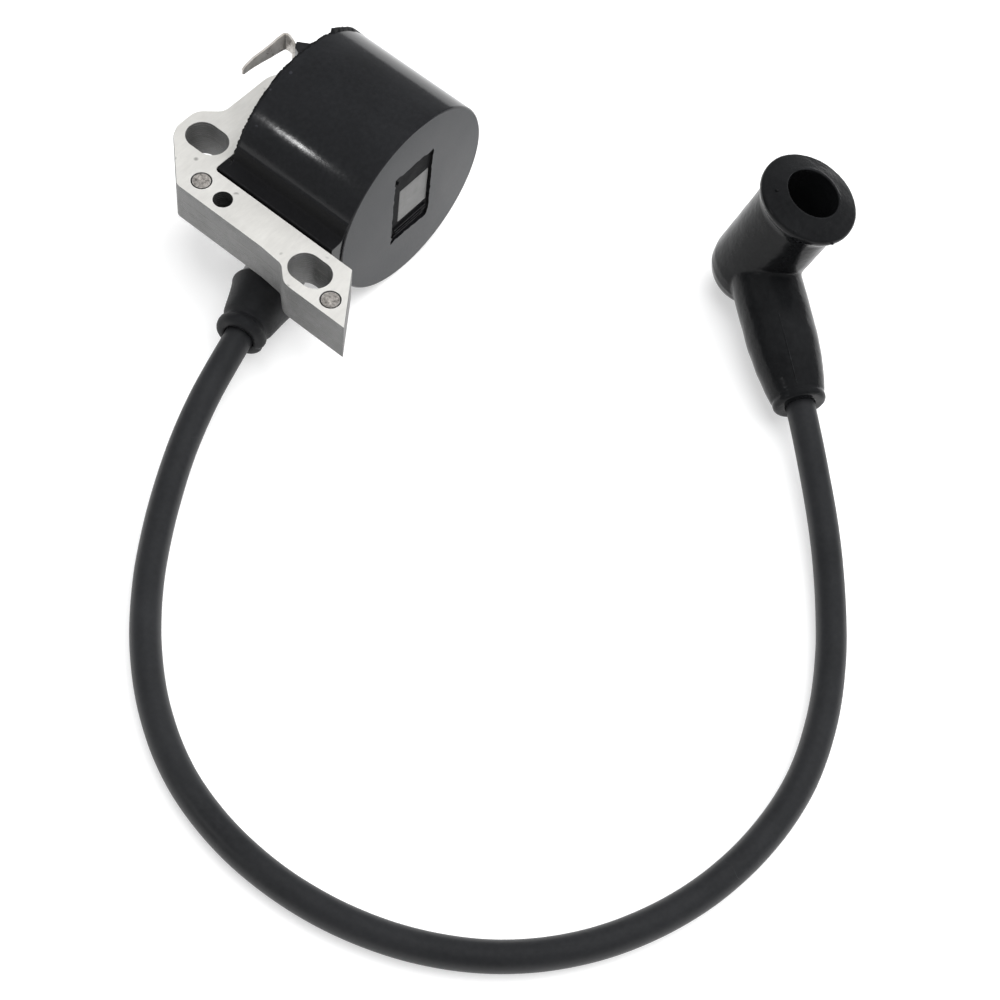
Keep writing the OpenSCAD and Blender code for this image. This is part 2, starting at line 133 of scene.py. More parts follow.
def edge_mask(tree, radius):
    """1 along convex and concave edges, 0 on open surfaces."""
    bevel = node_of(tree, "ShaderNodeBevel", samples=4)
    bevel.inputs["Radius"].default_value = radius
    geometry = node_of(tree, "ShaderNodeNewGeometry")
    dot = node_of(tree, "ShaderNodeVectorMath", operation="DOT_PRODUCT")
    tree.links.new(bevel.outputs["Normal"], dot.inputs[0])
    tree.links.new(geometry.outputs["Normal"], dot.inputs[1])
    return ranged(tree, dot.outputs["Value"], 0.995, 0.86, 0.0, 1.0)


def surface(name, dark, light, rough, metallic=0.0, specular=0.5, grain=900.0, blotch=90.0,
            bump=0.00003, wear=None, wear_radius=0.0003, stretch=None, scratch=None, speck=None):
    """A procedural finish: colour and roughness that vary at two scales, fine bump, worn edges,
    and, where asked for, fine scratches in patches and scattered specks."""
    made = bpy.data.materials.new(name)
    made.use_nodes = True
    tree = made.node_tree
    shader = tree.nodes["Principled BSDF"]
    coords = node_of(tree, "ShaderNodeTexCoord").outputs["Object"]
    fine_coords = stretched(tree, coords, stretch) if stretch else coords
    fine = noise_node(tree, fine_coords, grain, 5.0, 0.6)
    broad = noise_node(tree, coords, blotch, 3.0, 0.5, 0.4)
    tone = maths(tree, "ADD", maths(tree, "MULTIPLY", fine, 0.45), maths(tree, "MULTIPLY", broad, 0.55))
    colour = mixed(tree, ranged(tree, tone, 0.32, 0.68, 0.0, 1.0), dark, light)
    roughness = ranged(tree, tone, 0.3, 0.7, rough[0], rough[1])
    height = fine
    if scratch:
        lines = noise_node(tree, stretched(tree, coords, scratch["stretch"], scratch["turn"]),
                           scratch["scale"], 2.0, 0.5, 0.6)
        thin = ranged(tree, maths(tree, "ABSOLUTE", maths(tree, "SUBTRACT", lines, 0.5), 0.0),
                      0.0, scratch["width"], 1.0, 0.0)
        patches = ranged(tree, noise_node(tree, coords, scratch["patch"], 2.0), scratch["cover"],
                         scratch["cover"] + 0.05, 0.0, 1.0)
        marks = maths(tree, "MULTIPLY", thin, patches)
        shown = maths(tree, "MULTIPLY", marks, scratch["strength"])
        colour = mixed(tree, shown, colour, scratch["colour"])
        roughness = maths(tree, "ADD", roughness, maths(tree, "MULTIPLY", marks, 0.15))
        height = maths(tree, "SUBTRACT", height, maths(tree, "MULTIPLY", marks, 0.6))
    if speck:
        dots = node_of(tree, "ShaderNodeTexVoronoi")
        tree.links.new(coords, dots.inputs["Vector"])
        dots.inputs["Scale"].default_value = speck["scale"]
        near = ranged(tree, dots.outputs["Distance"], speck["size"], speck["size"] * 1.6, 1.0, 0.0)
        some = ranged(tree, noise_node(tree, coords, speck["patch"], 1.0), 0.56, 0.6, 0.0, 1.0)
        colour = mixed(tree, maths(tree, "MULTIPLY", near, some), colour, speck["colour"])
    if wear:
        edges = maths(tree, "MULTIPLY", edge_mask(tree, wear_radius),
                      ranged(tree, noise_node(tree, coords, 500.0, 3.0), 0.4, 0.62, 0.15, 1.0))
        colour = mixed(tree, edges, colour, wear)
    tree.links.new(colour, shader.inputs["Base Color"])
    tree.links.new(roughness, shader.inputs["Roughness"])
    shader.inputs["Metallic"].default_value = metallic
    shader.inputs["Specular IOR Level"].default_value = specular
    bumped = node_of(tree, "ShaderNodeBump")
    bumped.inputs["Strength"].default_value = 1.0
    bumped.inputs["Distance"].default_value = bump
    tree.links.new(height, bumped.inputs["Height"])
    tree.links.new(bumped.outputs["Normal"], shader.inputs["Normal"])
    return made


SHEET_FACE = surface("sheet_face", (0.60, 0.59, 0.565), (0.73, 0.72, 0.69), (0.42, 0.58), metallic=0.45,
                     grain=1500.0, blotch=130.0, bump=0.00002, stretch=(1.0, 0.25, 1.0),
                     wear=(0.78, 0.78, 0.76),
                     speck={"scale": 420.0, "size": 0.16, "patch": 160.0, "colour": (0.30, 0.295, 0.28)})
SHEET_EDGE = surface("sheet_edge", (0.148, 0.148, 0.145), (0.25, 0.25, 0.247), (0.42, 0.62),
                     metallic=0.55, grain=1400.0, blotch=200.0, bump=0.00003, stretch=(1.0, 1.0, 6.0),
                     wear=(0.40, 0.40, 0.40), wear_radius=0.00012)
# The locating hole's wall: the cut steel of the edges made near-black, painted shade inside the hole.
SHEET_BORE_SHADE = surface("sheet_bore_shade", (0.024, 0.024, 0.023), (0.05, 0.05, 0.048), (0.5, 0.7), metallic=0.2,
                     specular=0.2, grain=1400.0, blotch=300.0, bump=0.00003, wear=(0.2, 0.2, 0.2),
                     wear_radius=0.00012)
RIVET = surface("rivet_steel", (0.07, 0.065, 0.06), (0.66, 0.62, 0.58), (0.34, 0.6), metallic=0.6,
                grain=2400.0, blotch=1700.0, bump=0.00016, wear=(0.62, 0.60, 0.58))
CASE = surface("case_black", (0.006, 0.0063, 0.0071), (0.0135, 0.014, 0.0155), (0.08, 0.17),
               specular=0.26, grain=1300.0, blotch=60.0, bump=0.00001, wear=(0.030, 0.031, 0.034),
               scratch={"stretch": (0.35, 3.0, 3.0), "turn": (0.0, 0.0, 0.12), "scale": 110.0,
                        "width": 0.006, "patch": 55.0, "cover": 0.6, "strength": 0.5,
                        "colour": (0.08, 0.082, 0.086)},
               speck={"scale": 300.0, "size": 0.07, "patch": 90.0, "colour": (0.05, 0.05, 0.06)})
# The closed end: a matte finish, with a base colour lighter than the side's as painted light on that
# face.
CASE_END_LIT = surface("case_end_lit_black", (0.022, 0.023, 0.0255), (0.038, 0.040, 0.0435), (0.40, 0.55),
                   specular=0.4, grain=1700.0, blotch=110.0, bump=0.000025, wear=(0.075, 0.078, 0.082),
                   speck={"scale": 260.0, "size": 0.09, "patch": 120.0, "colour": (0.006, 0.006, 0.007)})
# Inside the case, the window and its ribs: a rougher, duller moulded finish, with a base colour darker
# than the outside's as painted shade in the recesses.
CASE_INSIDE_SHADE = surface("case_inside_shade_black", (0.0025, 0.0026, 0.003), (0.006, 0.0062, 0.007), (0.6, 0.8),
                      specular=0.12, grain=2200.0, blotch=500.0, bump=0.00006, wear=(0.02, 0.02, 0.021))
# Near-black painted on the foot and its toe as shade where the case curves down to the core; the rim
# flash takes it as its own darker colour.
CASE_FOOT_SHADE_AND_FLASH = surface("case_foot_shade_and_flash_black", (0.003, 0.003, 0.0034), (0.0065, 0.0066, 0.0074), (0.45, 0.62),
                    specular=0.2, grain=1500.0, blotch=140.0, bump=0.00004, wear=(0.022, 0.022, 0.024))
RESIN = surface("resin_black", (0.012, 0.012, 0.013), (0.026, 0.026, 0.028), (0.16, 0.34), specular=0.5,
                grain=420.0, blotch=120.0, bump=0.00005, wear=(0.05, 0.05, 0.052),
                speck={"scale": 380.0, "size": 0.14, "patch": 140.0, "colour": (0.004, 0.004, 0.004)})
SLEEVE = surface("sleeve_rubber", (0.0055, 0.0058, 0.0065), (0.0125, 0.013, 0.0145), (0.44, 0.62),
                 specular=0.25, grain=1500.0, blotch=160.0, bump=0.00004, wear=(0.035, 0.036, 0.039))
LEAD = surface("lead_rubber", (0.009, 0.0094, 0.0104), (0.017, 0.0176, 0.0192), (0.38, 0.5), specular=0.3,
               grain=1200.0, blotch=70.0, bump=0.000018, wear=(0.035, 0.036, 0.039),
               scratch={"stretch": (1.0, 1.0, 1.0), "turn": (0.0, 0.0, 0.4), "scale": 160.0,
                        "width": 0.003, "patch": 60.0, "cover": 0.63, "strength": 0.35,
                        "colour": (0.09, 0.09, 0.095)})
BOOT = surface("boot_rubber", (0.0050, 0.0052, 0.0057), (0.0102, 0.0106, 0.0113), (0.16, 0.26),
               specular=0.12, grain=1100.0, blotch=110.0, bump=0.00002, wear=(0.03, 0.031, 0.033),
               scratch={"stretch": (1.0, 1.0, 1.0), "turn": (0.0, 0.0, 0.0), "scale": 120.0,
                        "width": 0.003, "patch": 90.0, "cover": 0.66, "strength": 0.3,
                        "colour": (0.07, 0.07, 0.075)})
TINNED = surface("tinned_brass", (0.52, 0.49, 0.46), (0.80, 0.78, 0.75), (0.24, 0.42), metallic=0.65,
                 grain=1300.0, blotch=420.0, bump=0.00004, wear=(0.60, 0.52, 0.42))
BRASS = surface("brass", (0.52, 0.36, 0.15), (0.74, 0.55, 0.27), (0.2, 0.36), metallic=1.0,
                grain=1400.0, blotch=300.0, bump=0.00002, wear=(0.82, 0.66, 0.4))
COPPER = surface("strand_copper", (0.50, 0.22, 0.12), (0.74, 0.38, 0.22), (0.25, 0.4), metallic=1.0,
                 grain=2200.0, blotch=400.0, bump=0.00006, wear=(0.8, 0.5, 0.34))
ENAMEL = surface("enamel_wire", (0.30, 0.10, 0.03), (0.52, 0.21, 0.07), (0.2, 0.34), metallic=0.7,
                 grain=1600.0, blotch=260.0, bump=0.00008, stretch=(8.0, 1.0, 1.0),
                 wear=(0.62, 0.3, 0.13))
BOBBIN = surface("bobbin_plastic", (0.66, 0.63, 0.55), (0.80, 0.77, 0.70), (0.42, 0.56), grain=1400.0,
                 blotch=160.0, bump=0.00003, wear=(0.86, 0.84, 0.78))
BOARD = surface("board_green", (0.02, 0.11, 0.05), (0.035, 0.17, 0.08), (0.3, 0.42), grain=2000.0,
                blotch=500.0, bump=0.00002, wear=(0.35, 0.33, 0.2))
CHIP = surface("chip_black", (0.014, 0.014, 0.016), (0.028, 0.028, 0.031), (0.46, 0.6), grain=2500.0,
               blotch=700.0, bump=0.00003, wear=(0.06, 0.06, 0.065))
SPRING = surface("spring_steel", (0.44, 0.43, 0.42), (0.7, 0.69, 0.67), (0.18, 0.3), metallic=1.0,
                 grain=1800.0, blotch=400.0, bump=0.00002, wear=(0.8, 0.79, 0.77))

CAD_FINISH = {
    "core_laminations": SHEET_FACE, "core_rivets": RIVET, "coil_case": CASE, "potting_resin": RESIN,
    "primary_bobbin": BOBBIN, "primary_winding": ENAMEL, "secondary_bobbin": BOBBIN,
    "secondary_winding": ENAMEL, "control_board": BOARD, "switching_transistor": CHIP,
    "control_chip": CHIP, "bias_resistors": CHIP, "damping_capacitor": BOBBIN,
    "stop_terminal": TINNED, "ground_strap": TINNED, "primary_wires": ENAMEL,
    "secondary_wire": ENAMEL, "lead_spike": BRASS, "lead_sleeve": SLEEVE, "lead_jacket": LEAD,
    "lead_conductor": COPPER, "plug_boot": BOOT, "contact_spring": SPRING,
}
for cad_name, cad_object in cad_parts.items():
    cad_object.data.materials.clear()
    cad_object.data.materials.append(CAD_FINISH[cad_name])


# ---------------------------------------------------------------- mesh tools

def make(name, points, faces, finish, sharp=35.0):
    mesh = bpy.data.meshes.new(name)
    mesh.from_pydata([Vector(p) * MM for p in points], [], faces)
    mesh.validate()
    mesh.materials.append(finish)
    obj = bpy.data.objects.new(name, mesh)
    bpy.context.scene.collection.objects.link(obj)
    shade(obj, sharp)
    return obj


def shade(obj, sharp):
    """Smooth shading with sharp edges past an angle in degrees."""
    mesh = obj.data
    mesh.polygons.foreach_set("use_smooth", [True] * len(mesh.polygons))
    mesh.set_sharp_from_angle(angle=math.radians(sharp))
    mesh.update()


def outward(obj):
    work = bmesh.new()
    work.from_mesh(obj.data)
    bmesh.ops.recalc_face_normals(work, faces=work.faces)
    work.to_mesh(obj.data)
    work.free()


def bake(obj):
    """Applies the object's modifiers to its mesh."""
    graph = bpy.context.evaluated_depsgraph_get()
    mesh = bpy.data.meshes.new_from_object(obj.evaluated_get(graph))
    obj.modifiers.clear()
    obj.data = mesh


def combine(obj, tool, operation):
    outward(tool)
    mod = obj.modifiers.new("combine", "BOOLEAN")
    mod.operation, mod.solver, mod.object = operation, "EXACT", tool
    bake(obj)
    bpy.data.objects.remove(tool)


def bevel(obj, width, segments=2, angle=35.0):
    mod = obj.modifiers.new("bevel", "BEVEL")
    mod.width, mod.segments, mod.limit_method = width * MM, segments, "ANGLE"
    mod.angle_limit = math.radians(angle)
    mod.miter_outer = "MITER_ARC"
    bake(obj)


def lathe(name, profile, place, finish, steps=96, closed=False, sharp=35.0, wobble=None):
    """Turns (radius, height) pairs about Z, then puts the result in place. A closed profile is a ring."""
    points, rows = [], []
    for k, (r, z) in enumerate(profile):
        if r == 0:
            rows.append([len(points)] * steps)
            points.append(place @ Vector((0, 0, z)))
            continue
        rows.append(list(range(len(points), len(points) + steps)))
        for i in range(steps):
            a = 2 * math.pi * i / steps
            dr, dz = wobble(k, a) if wobble else (0.0, 0.0)
            points.append(place @ Vector(((r + dr) * math.cos(a), (r + dr) * math.sin(a), z + dz)))
    faces = []
    pairs = list(zip(rows, rows[1:])) + ([(rows[-1], rows[0])] if closed else [])
    for low, high in pairs:
        for i in range(steps):
            j = (i + 1) % steps
            quad = [low[i], low[j], high[j], high[i]]
            faces.append(list(dict.fromkeys(quad)))
    obj = make(name, points, faces, finish, sharp)
    outward(obj)
    return obj


def prism(name, outline, low, high, place, finish):
    """A straight solid on a flat outline."""
    n = len(outline)
    points = [place @ Vector((*p, low)) for p in outline] + [place @ Vector((*p, high)) for p in outline]
    faces = [list(range(n)), list(range(n, 2 * n))]
    faces += [[i, (i + 1) % n, n + (i + 1) % n, n + i] for i in range(n)]
    obj = make(name, points, faces, finish)
    outward(obj)
    return obj


def box(name, low, high, finish):
    (x0, y0, z0), (x1, y1, z1) = low, high
    return prism(name, [(x0, y0), (x1, y0), (x1, y1), (x0, y1)], z0, z1, Matrix(), finish)


def smooth_path(knots, per_span):
    """Catmull-Rom points through the knots, the ends held straight."""
    knots = [Vector(k) for k in knots]
    ends = [2 * knots[0] - knots[1], *knots, 2 * knots[-1] - knots[-2]]
    path = []
    for a, b, c, d in zip(ends, ends[1:], ends[2:], ends[3:]):
        ta, tb = 0.0, (b - a).length ** 0.5
        tc = tb + (c - b).length ** 0.5
        td = tc + (d - c).length ** 0.5
        for i in range(per_span):
            t = tb + (tc - tb) * i / per_span
            ab = a.lerp(b, (t - ta) / (tb - ta))
            bc = b.lerp(c, (t - tb) / (tc - tb))
            cd = c.lerp(d, (t - tc) / (td - tc))
            abc = ab.lerp(bc, (t - ta) / (tc - ta))
            bcd = bc.lerp(cd, (t - tb) / (td - tb))
            path.append(abc.lerp(bcd, (t - tb) / (tc - tb)))
    return path + [knots[-1]]


def frames_along(path):
    """Two axes across the path at each point, turning as little as they can."""
    side, out = Vector((0, 0, 1)), []
    for i, p in enumerate(path):
        t = (path[min(i + 1, len(path) - 1)] - path[max(i - 1, 0)]).normalized()
        side = (side - side.dot(t) * t).normalized()
        out.append((side, t.cross(side)))
    return out


def tube(name, path, radius, finish, sides=24, bore=None, wobble=None):
    """A round bar along the path, or a pipe if it has a bore."""
    points, rows = [], []
    axes = frames_along(path)
    for shell in ([radius] if bore is None else [radius, bore]):
        for i, (p, (u, v)) in enumerate(zip(path, axes)):
            rows.append(list(range(len(points), len(points) + sides)))
            for k in range(sides):
                a = 2 * math.pi * k / sides
                r = shell + (wobble(i, a) if wobble and shell == radius else 0.0)
                points.append(p + r * (math.cos(a) * u + math.sin(a) * v))
    n = len(path)

    def band(low, high):
        return [[low[k], low[(k + 1) % sides], high[(k + 1) % sides], high[k]] for k in range(sides)]

    faces = []
    for i in range(n - 1):
        faces += band(rows[i], rows[i + 1])
    if bore is None:
        faces += [rows[0][::-1], rows[n - 1]]
    else:
        for i in range(n, 2 * n - 1):
            faces += band(rows[i + 1], rows[i])
        faces += band(rows[n], rows[0]) + band(rows[n - 1], rows[2 * n - 1])
    obj = make(name, points, faces, finish, sharp=50.0)
    outward(obj)
    return obj


def rounded(corners):
    """Outline through (x, y, radius) corners, an arc at each corner with a radius."""
    out, n, steps = [], len(corners), 8
    for i, (x, y, r) in enumerate(corners):
        here = Vector((x, y))
        if r == 0:
            out.append(here)
            continue
        back = (Vector(corners[i - 1][:2]) - here).normalized()
        ahead = (Vector(corners[(i + 1) % n][:2]) - here).normalized()
        half = back.angle(ahead) / 2
        centre = here + (back + ahead).normalized() * r / math.sin(half)
        first = here + back * r / math.tan(half) - centre
        last = here + ahead * r / math.tan(half) - centre
        a0 = math.atan2(first.y, first.x)
        swing = (math.atan2(last.y, last.x) - a0 + math.pi) % (2 * math.pi) - math.pi
        out += [centre + r * Vector((math.cos(a0 + swing * k / steps), math.sin(a0 + swing * k / steps)))
                for k in range(steps + 1)]
    return out


def settle(obj, body, slot, *nodes):
    """Says which body the piece rides on and hides the CAD nodes that it stands for; the slot argument is
    not used.
    """
    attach(obj, body)
    if nodes:
        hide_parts(*nodes)
    return obj


ALONG_X = Matrix(((0, 0, 1, 0), (1, 0, 0, 0), (0, 1, 0, 0), (0, 0, 0, 1)))
CASE_AXIS = Matrix.Translation((0, CASE_Y, CASE_Z)) @ ALONG_X
OUTLET_BACK = Vector((-math.sin(OUTLET_LEAN), math.cos(OUTLET_LEAN), 0.0))


def on_outlet(s):
    """Frame whose +Z runs back along the lead's outlet, s behind the sleeve's face."""
    z = OUTLET_BACK
    y = Vector((0, 0, 1))
    turn = Matrix((y.cross(z), y, z)).transposed().to_4x4()
    return Matrix.Translation(OUTLET + s * z) @ turn


BOOT_TURN = (Matrix.Rotation(BOOT_YAW, 4, "Z") @ Matrix.Rotation(BOOT_PITCH, 4, "Y")
             @ Matrix.Rotation(BOOT_ROLL, 4, "X"))
BOOT_PLACE = Matrix.Translation(ELBOW) @ BOOT_TURN
ARM = BOOT_TURN.to_3x3() @ Vector((1, 0, 0))


# ---------------------------------------------------------------- lead

# Middle of the lead from the sleeve to the boot, as it lies on the floor.
ROUTE = [
    (9, -41, 4.9), (13, -51, 3.3), (18.5, -61, 2.6), (25, -70.5, 2.5), (32.8, -79.2, 2.5),
    (41.7, -86.3, 2.5), (51.7, -91.4, 2.5), (62.7, -94, 2.5), (74.2, -94.2, 2.5), (85.6, -92.1, 2.5),
    (96.3, -87.8, 2.5), (105.7, -81.4, 2.5), (113.3, -73.2, 2.5), (119, -63.4, 2.5),
    (122.6, -52.7, 2.5), (124, -41.5, 2.5), (123.2, -30.2, 2.5), (119.9, -19.4, 2.6),
    (114.6, -9.1, 2.8), (107.9, 0.4, 3.2), (100.4, 9.2, 4), (92.4, 17.3, 4.9),
]


def make_lead():
    """Jacket from inside the outlet to the middle of the boot's elbow, a hair thinner than the CAD's."""
    shrink, bore = 0.015, 0.85
    tail = [OUTLET + s * OUTLET_BACK for s in (18.1, 9.0, 0.0)]
    nose = [ELBOW + x * ARM for x in (ARM_REACH, 20.0, 9.0)]
    route = tail + [Vector(p) for p in ROUTE] + nose
    path = smooth_path(route, 12)

    def wobble(i, a):
        return 0.025 * noise.noise(path[i] * 0.16 + Vector((math.cos(a), math.sin(a), 0)) * 0.5)

    lead = tube("lead_jacket_rubber", path, LEAD_R - shrink, LEAD, sides=32, bore=bore, wobble=wobble)
    settle(lead, "coil", "lead_rubber", "lead_jacket")
    return lead, path


lead, lead_path = make_lead()


# ---------------------------------------------------------------- core

# Corners of the sheets as x, y and the radius of the corner, clockwise from the slanted pole face.
CORE_OUTLINE = [
    (17.37, -14.35, 0.3), (24.2, -24.1, 0.1), (11, -24.1, 3), (8.2, -21.5, 2), (3.5, -21.1, 2),
    (-15.4, -21.1, 1.5), (-23.2, -13.7, 3), (-24.1, -11.8, 3), (-24.1, -7.2, 3), (-20.6, -4, 2.5),
    (-20.6, 10.75, 5), (12.45, 10.75, 0.3), (12.45, 3.25, 0.3), (-13, 3.25, 0.8), (-13, -14.35, 0.8),
]
SLOTS = [(-18.5, -10.4), (12.5, -19.2)]
SLOT_R, SLOT_RUN = 2.8, 2.2
LOCATING_HOLE, LOCATING_R = (-7.7, -18.15), 1.6
RIVETS = [(-12.95, -17.65), (18.75, -21.3)]
RIVET_HOLE_R, RIVET_R, RIVET_DOME = 1.72, 1.55, 0.1


def circle(centre, r, steps):
    return [Vector((centre[0] + r * math.cos(2 * math.pi * k / steps),
                    centre[1] + r * math.sin(2 * math.pi * k / steps))) for k in range(steps)]


def slot_loop(centre):
    loop = []
    for side, first in ((1, -90), (-1, 90)):
        for k in range(25):
            a = math.radians(first + 180 * k / 24)
            loop.append(Vector((centre[0] + side * SLOT_RUN / 2 + SLOT_R * math.cos(a),
                                centre[1] + SLOT_R * math.sin(a))))
    return loop


def grown(loop, amount):
    """The loop moved to its left by amount, corner by corner."""
    out, n = [], len(loop)
    for i in range(n):
        a, b, c = loop[i - 1], loop[i], loop[(i + 1) % n]
        e1, e2 = (b - a), (c - b)
        if e1.length < 1e-6 or e2.length < 1e-6:
            out.append(b.copy())
            continue
        n1 = Vector((-e1.y, e1.x)).normalized()
        n2 = Vector((-e2.y, e2.x)).normalized()
        both = n1 + n2
        out.append(b + both * amount / max(0.3, both.length_squared / 2))
    return out


def signed_area(loop):
    return sum(a.x * b.y - b.x * a.y for a, b in zip(loop, loop[1:] + loop[:1])) / 2


def make_core():
    """Sixteen sheets, each with its own small stamping roll-over, pressed together."""
    face_finish, edge_finish, bore_shade = range(3)
    loops = [(rounded(CORE_OUTLINE), edge_finish)] + [(slot_loop(c), edge_finish) for c in SLOTS]
    # The locating hole's wall gets the near-black steel as painted shade.
    loops.append((circle(LOCATING_HOLE, LOCATING_R, 40), bore_shade))
    loops += [(circle(c, RIVET_HOLE_R, 40), edge_finish) for c in RIVETS]
    work = bmesh.new()
    sheets, groove = 16, 0.045
    pitch = (CORE_Z1 - CORE_Z0) / sheets
    chance = random.Random(4)
    shifts = [chance.uniform(0.0, 0.035) for _ in range(sheets)]
    bottom, top = [], []
    for index, (loop, finish) in enumerate(loops):
        if (signed_area(loop) > 0) != (index == 0):
            loop.reverse()
        levels = []
        for k in range(sheets):
            z0 = CORE_Z0 + k * pitch
            own = shifts[k]
            levels += [(z0, own + groove), (z0 + groove * 1.2, own), (z0 + pitch - groove * 1.6, own)]
        levels.append((CORE_Z1, shifts[-1] + groove * 1.5))
        rings = []
        for z, inset in levels:
            rings.append([work.verts.new((p.x * MM, p.y * MM, z * MM)) for p in grown(loop, inset)])
        for low, high in zip(rings, rings[1:]):
            for i in range(len(loop)):
                j = (i + 1) % len(loop)
                work.faces.new((low[i], low[j], high[j], high[i])).material_index = finish
        bottom.append(rings[0])
        top.append(rings[-1])
    for cap in (bottom, top):
        edges = [work.edges.get(pair) for ring in cap for pair in zip(ring, ring[1:] + ring[:1])]
        filled = bmesh.ops.triangle_fill(work, use_beauty=True, edges=edges)
        for item in filled["geom"]:
            if isinstance(item, bmesh.types.BMFace):
                item.material_index = face_finish
    bmesh.ops.recalc_face_normals(work, faces=work.faces)
    mesh = bpy.data.meshes.new("core_sheets")
    work.to_mesh(mesh)
    work.free()
    for finish in (SHEET_FACE, SHEET_EDGE, SHEET_BORE_SHADE):
        mesh.materials.append(finish)
    core = bpy.data.objects.new("core_sheets", mesh)
    bpy.context.scene.collection.objects.link(core)
    shade(core, 24)
    settle(core, "coil", "core_steel", "core_laminations")


def make_rivets():
    """Shanks whose ends are peened into a shallow dimpled dome."""
    points, faces = [], []
    steps, rings = 64, 20
    radii = [RIVET_R * k / rings for k in range(rings + 1)]
    for number, centre in enumerate(RIVETS):
        lower = [(r, CORE_Z0 + 0.02, 0) for r in radii]
        upper = [(r, CORE_Z1 + RIVET_DOME * (1 - (r / (RIVET_R + 0.05)) ** 4), 1) for r in radii]
        grid = []
        for r, z, peened in lower + upper[::-1]:
            if r == 0:
                grid.append([len(points)] * steps)
                points.append((centre[0], centre[1], z))
                continue
            grid.append(list(range(len(points), len(points) + steps)))
            for i in range(steps):
                a = 2 * math.pi * i / steps
                x, y = r * math.cos(a), r * math.sin(a)
                where = Vector((x, y, 7.0 * number)) * 2.6
                dent = peened * 1.3 * abs(0.09 * noise.noise(where) + 0.05 * noise.noise(where * 2.4))
                points.append((centre[0] + x, centre[1] + y, z - dent))
        for low, high in zip(grid, grid[1:]):
            for i in range(steps):
                j = (i + 1) % steps
                face = list(dict.fromkeys([low[i], low[j], high[j], high[i]]))
                if len(face) > 2:
                    faces.append(face)
    rivets = make("rivets_peened", points, faces, RIVET, 60)
    outward(rivets)
    settle(rivets, "coil", "rivet_steel", "core_rivets")


make_core()
make_rivets()


# ---------------------------------------------------------------- case

def arc(cx, cy, r, first, last, steps):
    angles = [math.radians(first + (last - first) * k / steps) for k in range(steps + 1)]
    return [(cx + r * math.cos(a), cy + r * math.sin(a)) for a in angles]


def ragged(outline, amount, seed, step=0.6):
    """A straight-sided outline with small uneven edges, as broken moulding flash leaves them."""
    out = []
    for a, b in zip(outline, outline[1:] + outline[:1]):
        a, b = Vector(a), Vector(b)
        n = max(2, int((b - a).length / step))
        across = Vector((-(b - a).y, (b - a).x)).normalized()
        for k in range(n):
            p = a.lerp(b, k / n)
            shift = amount * noise.noise(Vector((p.x * 0.9, p.y * 0.9, seed)))
            shift += 0.4 * amount * noise.noise(Vector((p.x * 3.1, p.y * 3.1, seed + 5)))
            out.append(p + across * shift)
    return out


# The foot's face against the core, and where the foot and its toe end.
FOOT_Y, FOOT_X1, TOE_X0 = -14.05, 12.6, -12.8
# The tube round the lead's spike, and how far it runs into the case.
TUBE_R, TUBE_END = 4.9, 27.6
# Outside of the square sleeve round the core's leg.
WALL_Y, WALL_Z, WALL_T = (2.35, 11.65), (13.1, 22.9), 0.8
# The window's outline in y and z, and the x of its floor.
WINDOW, WINDOW_FLOOR = [(1.1, 10.4), (10.8, 10.4), (10.8, 27.1), (1.1, 27.1)], 12.45


